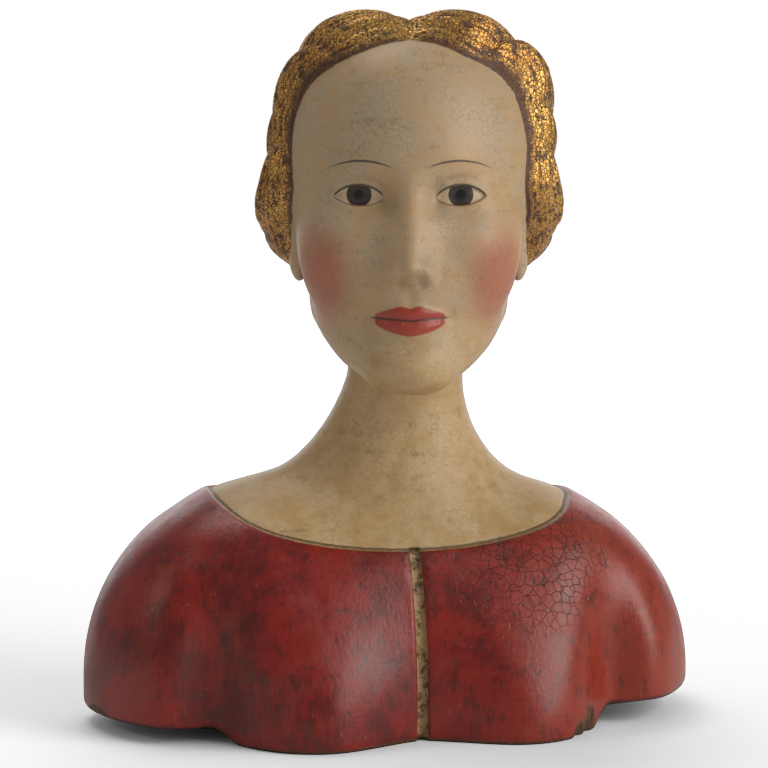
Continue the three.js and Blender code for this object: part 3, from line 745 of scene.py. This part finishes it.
class Palette:                           # makes the textures and mixes of one material
    def __init__(self, tree):
        self.tree = tree
        self.place = self.out("ShaderNodeTexCoord", "Object")
        apart = tree.nodes.new("ShaderNodeSeparateXYZ")
        connect(tree, self.place, apart.inputs[0])
        self.across, self.height = Value(tree, apart.outputs[0]), Value(tree, apart.outputs[2])

    def out(self, kind, name):
        return Value(self.tree, self.tree.nodes.new(kind).outputs[name])

    def field(self, name):
        node = self.tree.nodes.new("ShaderNodeAttribute")
        node.attribute_name = name
        return Value(self.tree, node.outputs["Fac"])

    def vector(self, x, y, z):
        node = self.tree.nodes.new("ShaderNodeCombineXYZ")
        for slot, value in zip(node.inputs, (x, y, z)):
            connect(self.tree, value, slot)
        return Value(self.tree, node.outputs[0])

    def stretched(self, x, y, z):        # the place, scaled apart along each axis
        node = self.tree.nodes.new("ShaderNodeMapping")
        connect(self.tree, self.place, node.inputs["Vector"])
        node.inputs["Scale"].default_value = (x, y, z)
        return Value(self.tree, node.outputs[0])

    def bent(self, by, size):            # the place, pushed about by a noise
        node = self.tree.nodes.new("ShaderNodeTexNoise")
        connect(self.tree, self.place, node.inputs["Vector"])
        node.inputs["Scale"].default_value = 1000 / size
        push = self.tree.nodes.new("ShaderNodeVectorMath")
        push.operation = "MULTIPLY_ADD"
        self.tree.links.new(node.outputs["Color"], push.inputs[0])
        push.inputs[1].default_value = (by, by, by)
        connect(self.tree, self.place, push.inputs[2])
        return Value(self.tree, push.outputs[0])

    def noise(self, size, detail=3, rough=0.55, where=None):        # size in millimetres of one lump
        node = self.tree.nodes.new("ShaderNodeTexNoise")
        connect(self.tree, where or self.place, node.inputs["Vector"])
        node.inputs["Scale"].default_value = 1000 / size
        node.inputs["Detail"].default_value = detail
        node.inputs["Roughness"].default_value = rough
        return Value(self.tree, node.outputs["Fac"])

    def flakes(self, size, kind="DISTANCE_TO_EDGE", where=None, output="Distance"):
        node = self.tree.nodes.new("ShaderNodeTexVoronoi")
        node.feature = kind
        connect(self.tree, where or self.place, node.inputs["Vector"])
        node.inputs["Scale"].default_value = 1000 / size
        return Value(self.tree, node.outputs[output])

    def blend(self, amount, first, second, kind="MIX"):
        node = self.tree.nodes.new("ShaderNodeMix")
        node.data_type, node.blend_type = "RGBA", kind
        connect(self.tree, amount, node.inputs["Factor"])
        connect(self.tree, first, node.inputs[6])
        connect(self.tree, second, node.inputs[7])
        return Value(self.tree, node.outputs[2])

    def lerp(self, amount, first, second):
        node = self.tree.nodes.new("ShaderNodeMix")
        connect(self.tree, amount, node.inputs[0])
        connect(self.tree, first, node.inputs[2])
        connect(self.tree, second, node.inputs[3])
        return Value(self.tree, node.outputs[0])


gilding = {
    "gold": (0.86, 0.50, 0.13),
    "rubbedGold": (0.56, 0.27, 0.06),
    "bole": (0.095, 0.030, 0.013),
    # grime on the bole, and also painted shade in the hollows of the hair
    "grimeAndShade": (0.030, 0.015, 0.008),
    "flake": 1.9,                        # millimetres across one flake of leaf
    "crack": 0.055,
    "gloss": 0.30,
}


def gildedHair(p):                       # colour, roughness, metal and height of crackled leaf on red bole
    across, along = p.field("hairAcross"), p.field("hairAlong")
    flow = p.vector(across * 0.001, along * 0.00016, 0.0)
    groove = p.field("hairGroove")
    streak = p.noise(1.3, 3, 0.6, flow)
    cells = p.flakes(gilding["flake"])
    fine = p.flakes(gilding["flake"] * 0.5)
    worn = p.noise(5.5, 4, 0.72)
    broad = p.noise(26, 2)
    crackWide = worn * 0.13 - 0.005
    cracks = (cells - crackWide).inside(0.035, -0.02)
    fineCracks = (fine - worn * 0.09).inside(0.02, -0.02) * 0.55
    bald = (worn + streak * 0.35 + groove * 0.16 + broad * 0.15).inside(0.80, 0.92)
    ragged = p.field("hairBehind") + worn * 9 - 6.5
    frontEdge = ragged.inside(3.2, 0.2)
    leaf = (1 - cracks) * (1 - fineCracks) * (1 - bald * 0.85) * (1 - frontEdge * 0.9)
    # Grime and painted shade: grooves, creases and hollows, where shade falls, are darkened and made less metallic.
    deep = (groove * 0.55 + p.field("crease") * 0.8 + p.field("shade") * 0.5).inside(0.35, 1.1)
    gold = p.blend((streak * 0.5 + broad * 0.6).inside(0.4, 0.7), gilding["gold"], gilding["rubbedGold"])
    ground = p.blend(p.noise(3, 3), gilding["bole"], gilding["grimeAndShade"])
    colour = p.blend(leaf, ground, gold)
    colour = p.blend(deep * 0.75, colour, gilding["grimeAndShade"])
    rough = p.lerp(leaf, 0.6, streak * 0.25 + gilding["gloss"] - 0.06)
    height = cells.inside(0, 0.3) * 0.10 + fine.inside(0, 0.3) * 0.035 + streak * 0.10 + worn * 0.12
    return colour, rough, leaf * (1 - deep * 0.6) * 0.9, height


flesh = {
    "faceWarm": (0.50, 0.33, 0.17),
    "faceGrey": (0.46, 0.35, 0.22),
    "chestWarm": (0.46, 0.30, 0.125),
    "chestPale": (0.54, 0.385, 0.20),
    # dirt in the paint, and also painted shade in creases and hollows
    "grimeAndShade": (0.13, 0.075, 0.03),
    "rouge": (0.42, 0.095, 0.05),
    "lips": (0.36, 0.028, 0.016),
    "line": (0.035, 0.026, 0.022),
    "redLine": (0.16, 0.035, 0.02),
    "iris": (0.045, 0.030, 0.026),
    "pupil": (0.008, 0.007, 0.008),
    "eyeWhite": (0.56, 0.43, 0.26),
    "faceStart": 0.165,                  # metres, where the chest's tone turns into the face's
}


def fleshPaint(p):                       # aged oil paint on gesso, with the painted features
    height = p.height
    patches = p.noise(24, 3, 0.6)
    cloud = p.noise(7, 3, 0.6)
    speck = p.noise(1.5, 3, 0.65)
    strokes = p.noise(9, 3, 0.6, p.stretched(0.25, 0.25, 2.2))
    toFace = height.inside(flesh["faceStart"], flesh["faceStart"] + 0.03)
    mix = (patches * 0.75 + cloud * 0.5).inside(0.48, 0.76)
    colour = p.blend(mix, flesh["faceWarm"], flesh["faceGrey"])
    chest = p.blend(mix, flesh["chestWarm"], flesh["chestPale"])
    colour = p.blend(toFace, chest, colour)
    rouge = (p.field("rouge") * (cloud * 0.8 + 0.75)).inside(0.08, 1.05)
    colour = p.blend(rouge * 0.72, colour, flesh["rouge"])
    tone = speck * 0.5 + strokes * 0.45 + cloud * 0.3
    colour = p.blend(tone.inside(0.60, 0.40) * 0.42, colour, flesh["grimeAndShade"])
    colour = p.blend(speck.inside(0.66, 0.76) * 0.4, colour, flesh["chestPale"])
    cells = p.flakes(3.4)
    cracks = cells.inside(0.045, 0.0) * (patches.inside(0.42, 0.62) * 0.3 + 0.08)
    # Painted shade: creases and hollows are darkened where shade falls, together with the real cracks and dark
    # specks.
    deep = (p.field("crease") * 1.2 + p.field("shade") * 0.75).inside(0.30, 1.15)
    dark = (deep * 0.62).most(cracks).most(p.noise(2.2, 2).inside(0.75, 0.80) * 0.5)
    colour = p.blend(dark, colour, flesh["grimeAndShade"])
    colour, gloss = paintedFeatures(p, colour, cloud)
    rough = p.lerp(cloud, 0.36, 0.58) - gloss * 0.1
    relief = cloud * 0.12 + speck * 0.05 + strokes * 0.10 - cracks * 0.08
    return colour, rough, 0.0, relief


def paintedFeatures(p, colour, cloud):
    wobble = (cloud - 0.5) * 0.5
    across = p.field("faceAcross")
    lipTop, lipBottom, mouth = p.field("lipTop"), p.field("lipBottom"), p.field("mouthOff")
    lips = lipTop.least(lipBottom).least(15.5 - across) + wobble
    lipMask = lips.inside(-0.1, 0.7) * (1 - cloud.inside(0.62, 0.75) * 0.3)
    colour = p.blend(lipMask * 0.92, colour, flesh["lips"])
    parting = (mouth.size() * -1 + 0.38).inside(-0.35, 0.1) * across.inside(18.5, 15.0)
    colour = p.blend(parting * 0.8, colour, flesh["line"])

    top, bottom, aside = p.field("lidTop"), p.field("lidBottom"), p.field("eyeAcross").size()
    openness = (top * -1).least(bottom).inside(-0.1, 0.25) * aside.inside(1.0, 0.95)
    colour = p.blend(openness, colour, flesh["eyeWhite"])
    iris = p.field("irisFar")
    colour = p.blend(openness * iris.inside(paintLines["irisRound"] + 0.25, paintLines["irisRound"] - 0.25),
                     colour, flesh["iris"])
    colour = p.blend(openness * iris.inside(paintLines["pupilRound"] + 0.3, paintLines["pupilRound"] - 0.3),
                     colour, flesh["pupil"])
    topLine = (0.62 - (top - 0.15).size() + wobble * 0.5).inside(-0.12, 0.2) * aside.inside(1.04, 0.9)
    colour = p.blend(topLine * 0.85, colour, flesh["line"])
    lowLine = (0.3 - (bottom + 0.1).size() + wobble * 0.4).inside(-0.12, 0.15) * aside.inside(1.04, 0.9)
    colour = p.blend(lowLine * 0.7, colour, flesh["redLine"])
    brow = (p.field("browHalf") - (p.field("browOff") + wobble * 0.4).size()).inside(-0.12, 0.25)
    colour = p.blend(brow * 0.85, colour, flesh["line"])
    return colour, lipMask + openness


redPaint = {
    "deep": (0.125, 0.0055, 0.0033),
    "bright": (0.26, 0.012, 0.005),
    "orange": (0.31, 0.038, 0.014),
    "brown": (0.060, 0.016, 0.008),
    "bloom": (0.36, 0.16, 0.11),
    "fleck": (0.60, 0.30, 0.20),
    "crackAt": (0.055, 0.080),           # metres across and up, the middle of the crackled patch
    "crackWide": (0.040, 0.035),
}


def redBodice(p, axisAcross):
    across, height = p.across - axisAcross, p.height
    patches = p.noise(30, 3, 0.6)
    cloud = p.noise(8, 3, 0.65)
    fine = p.noise(1.6, 2, 0.7)
    fibres = p.noise(5, 3, 0.65, p.stretched(3.2, 3.2, 0.35))
    strokes = p.noise(6, 3, 0.65, p.stretched(0.7, 1.2, 2.6))
    toRight = across.inside(-0.03, 0.11)
    tone = (patches * 0.8 + cloud * 0.35 + fibres * 0.35)
    colour = p.blend(tone.inside(0.58, 0.86), redPaint["deep"], redPaint["bright"])
    warm = (toRight * 0.45 + strokes * 0.5 + patches * 0.2).inside(0.42, 0.88)
    colour = p.blend(warm * 0.75, colour, redPaint["orange"])
    colour = p.blend((cloud * 0.6 + fibres * 0.5).inside(0.52, 0.40) * 0.6, colour, redPaint["brown"])
    bloom = (p.noise(19, 3, 0.6).inside(0.5, 0.72)) * (fine * 0.8 + 0.3)
    colour = p.blend(bloom * 0.13, colour, redPaint["bloom"])
    scratch = p.noise(4, 2, 0.5, p.stretched(4.5, 4.5, 0.8)).inside(0.72, 0.76)
    scratch = scratch.most(p.noise(1.1, 2, 0.6).inside(0.74, 0.80))
    colour = p.blend(scratch * cloud.inside(0.4, 0.6) * 0.55, colour, redPaint["fleck"])
    atX, atZ = redPaint["crackAt"]
    wideX, wideZ = redPaint["crackWide"]
    far = ((across - atX) * (1 / wideX)).math("POWER", 2.0) + ((height - atZ) * (1 / wideZ)).math("POWER", 2.0)
    cells = p.flakes(4.6, where=p.bent(0.0012, 6))
    cracks = cells.inside(0.042, 0.008) * (far + cloud * 0.8).inside(1.6, 0.5)
    # Painted shade: creases and hollows are darkened towards brown where shade falls, along with the real cracks.
    deep = (p.field("crease") * 1.3 + p.field("shade") * 0.7).inside(0.30, 1.1)
    colour = p.blend((cracks * 0.85).most(deep * 0.8), colour, redPaint["brown"])
    rough = cloud * 0.22 + fine * 0.16 + bloom * 0.1 + 0.16
    relief = cloud * 0.16 + fine * 0.05 + fibres * 0.12 + strokes * 0.06 - cracks * 0.25
    return colour, rough, 0.0, relief


wood = {
    "dark": (0.045, 0.018, 0.008),
    "light": (0.20, 0.095, 0.035),
    "green": (0.075, 0.05, 0.018),
    "gesso": (0.46, 0.31, 0.15),
    "grime": (0.10, 0.055, 0.022),
}


def bareWood(p):                         # broken edges and the underside
    fibres = p.noise(3.5, 3, 0.7, p.stretched(3, 3, 0.3))
    cloud = p.noise(7, 2, 0.6)
    colour = p.blend(fibres.inside(0.35, 0.65), wood["dark"], wood["light"])
    colour = p.blend(cloud.inside(0.45, 0.65) * 0.6, colour, wood["green"])
    # Painted shade: the broken wood is darkened in its creases.
    colour = p.blend(p.field("crease") * 0.6, colour, wood["dark"])
    return colour, 0.7, 0.0, fibres * 0.5 + cloud * 0.2


def slitFloor(p):                        # grimy gesso at the bottom of the opening
    cloud, fine = p.noise(5, 3, 0.7), p.noise(1.4, 2, 0.7)
    colour = p.blend((cloud * 0.7 + fine * 0.4).inside(0.48, 0.68), wood["gesso"], wood["grime"])
    return colour, 0.65, 0.0, cloud * 0.3 + fine * 0.12


def laidOver(p, mask, below, above):     # one finish over another where the mask is 1
    colour = p.blend(mask, below[0], above[0])
    return (colour, *(p.lerp(mask, b, a) for b, a in zip(below[1:], above[1:])))


def paintedWood():
    material = bpy.data.materials.new("painted wood")
    material.use_nodes = True
    tree = material.node_tree
    p = Palette(tree)
    ragged = p.noise(2.2, 3, 0.65) - 0.5
    red, woodFinish = redBodice(p, axisShift.x), bareWood(p)
    outside = p.field("outside") + ragged * 0.9
    finish = laidOver(p, outside.inside(-0.35, 0.25), fleshPaint(p), red)
    slit = p.field("slit") + ragged * 0.8
    inSlit = slit.inside(0.35, -0.15) * p.field("outside").inside(-0.8, 0.4)
    finish = laidOver(p, inSlit, finish, slitFloor(p))
    seam = (p.field("outside") + 1.0 + ragged * 1.2).size().inside(1.0, 0.25) * p.height.inside(0.0, 0.03)
    colour = p.blend(seam * 0.8, finish[0], wood["dark"])
    finish = (colour, *finish[1:])
    finish = laidOver(p, (p.field("hair") + ragged * 0.8).inside(-0.2, 0.4), finish, gildedHair(p))
    broken = (p.field("gone") + ragged * 3.2).inside(1.6, 0.6)
    under = (p.height * 1000 + ragged * 2.5).inside(2.2, 0.6)
    finish = laidOver(p, broken.most(under), finish, woodFinish)

    shader = tree.nodes["Principled BSDF"]
    for name, value in zip(("Base Color", "Roughness", "Metallic"), finish):
        connect(tree, value, shader.inputs[name])
    bump = tree.nodes.new("ShaderNodeBump")
    bump.inputs["Distance"].default_value = 0.001
    connect(tree, finish[3], bump.inputs["Height"])
    tree.links.new(bump.outputs["Normal"], shader.inputs["Normal"])
    return material


piece.data.materials.clear()
piece.data.materials.append(paintedWood())
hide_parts("bust")
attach(piece, "root")
print("stage: bust painted")


# Pale floor, soft lights and the camera, in metres.
studio = {
    "floorWide": 30,
    "floorTone": (0.86, 0.85, 0.83),
    "surround": (0.95, 0.96, 1.0),
    "surroundLight": 0.26,
    "surroundSeen": 1.0,
}
lamps = {                                # azimuth and height in degrees seen from the bust, distance, size, power
    "key": {"azimuth": 50, "height": 22, "far": 1.5, "wide": (0.9, 1.1), "power": 14, "tone": (1, 0.96, 0.90)},
    "above": {"azimuth": -150, "height": 68, "far": 1.4, "wide": (0.9, 0.4), "power": 4.5, "tone": (1, 0.95, 0.88)},
    "rim": {"azimuth": 168, "height": 12, "far": 1.8, "wide": (2.4, 1.6), "power": 16, "tone": (1, 1, 1)},
    "glint": {"azimuth": -80, "height": 26, "far": 1.3, "wide": (0.14, 0.14), "power": 0.9, "tone": (1, 0.86, 0.66)},
}
view = {
    "azimuth": -12,
    "far": 1.12,
    "high": 0.240,
    "aimHigh": 0.1545,
    "aside": -0.00235,
    "lens": 36 * 2381 / 768 / math.cos(math.radians(4.36)),
}


def around(azimuth, height, far):
    a, e = math.radians(azimuth), math.radians(height)
    return Vector((math.sin(a) * math.cos(e), -math.cos(a) * math.cos(e), math.sin(e))) * far


def lookAt(thing, target):
    thing.rotation_euler = (target - thing.location).to_track_quat("-Z", "Y").to_euler()


def addFloor():
    half = studio["floorWide"] / 2
    mesh = bpy.data.meshes.new("floor")
    mesh.from_pydata([(-half, -half, 0), (half, -half, 0), (half, half, 0), (-half, half, 0)], [], [(0, 1, 2, 3)])
    floor = bpy.data.objects.new("floor", mesh)
    bpy.context.scene.collection.objects.link(floor)
    material = bpy.data.materials.new("pale floor")
    material.use_nodes = True
    shader = material.node_tree.nodes["Principled BSDF"]
    shader.inputs["Base Color"].default_value = (*studio["floorTone"], 1)
    shader.inputs["Roughness"].default_value = 0.8
    mesh.materials.append(material)
    floor.is_shadow_catcher = True       # the floor is as pale as the surround, but for the bust's soft shadow
    floor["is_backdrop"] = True


def addLamps():
    target = Vector((0, 0, 0.16))
    for name, lamp in lamps.items():
        light = bpy.data.lights.new(name, "AREA")
        light.shape = "RECTANGLE"
        light.size, light.size_y = lamp["wide"]
        light.energy = lamp["power"]
        light.color = lamp["tone"]
        thing = bpy.data.objects.new(name, light)
        thing.location = target + around(lamp["azimuth"], lamp["height"], lamp["far"])
        lookAt(thing, target)
        bpy.context.scene.collection.objects.link(thing)


def addSurround():
    world = bpy.data.worlds.new("surround")
    world.use_nodes = True
    tree = world.node_tree
    lighting = tree.nodes["Background"]
    lighting.inputs["Color"].default_value = (*studio["surround"], 1)
    lighting.inputs["Strength"].default_value = studio["surroundLight"]
    seen = tree.nodes.new("ShaderNodeBackground")
    seen.inputs["Color"].default_value = (1, 1, 1, 1)
    seen.inputs["Strength"].default_value = studio["surroundSeen"]
    either = tree.nodes.new("ShaderNodeMixShader")
    path = tree.nodes.new("ShaderNodeLightPath")
    tree.links.new(path.outputs["Is Camera Ray"], either.inputs["Fac"])
    tree.links.new(lighting.outputs[0], either.inputs[1])
    tree.links.new(seen.outputs[0], either.inputs[2])
    tree.links.new(either.outputs[0], tree.nodes["World Output"].inputs["Surface"])
    bpy.context.scene.world = world


def addCamera():
    camera = bpy.data.objects.new("camera", bpy.data.cameras.new("camera"))
    aside = around(view["azimuth"] + 90, 0, view["aside"]) + axisShift
    camera.location = around(view["azimuth"], 0, view["far"]) + Vector((0, 0, view["high"])) + aside
    lookAt(camera, Vector((0, 0, view["aimHigh"])) + aside)
    camera.data.sensor_width = 36
    camera.data.lens = view["lens"]
    bpy.context.scene.collection.objects.link(camera)
    bpy.context.scene.camera = camera


addFloor()
addLamps()
addSurround()
addCamera()
bpy.context.scene.view_settings.view_transform = "Standard"
print("stage: studio set")

low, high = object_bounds()
print("stage: done")
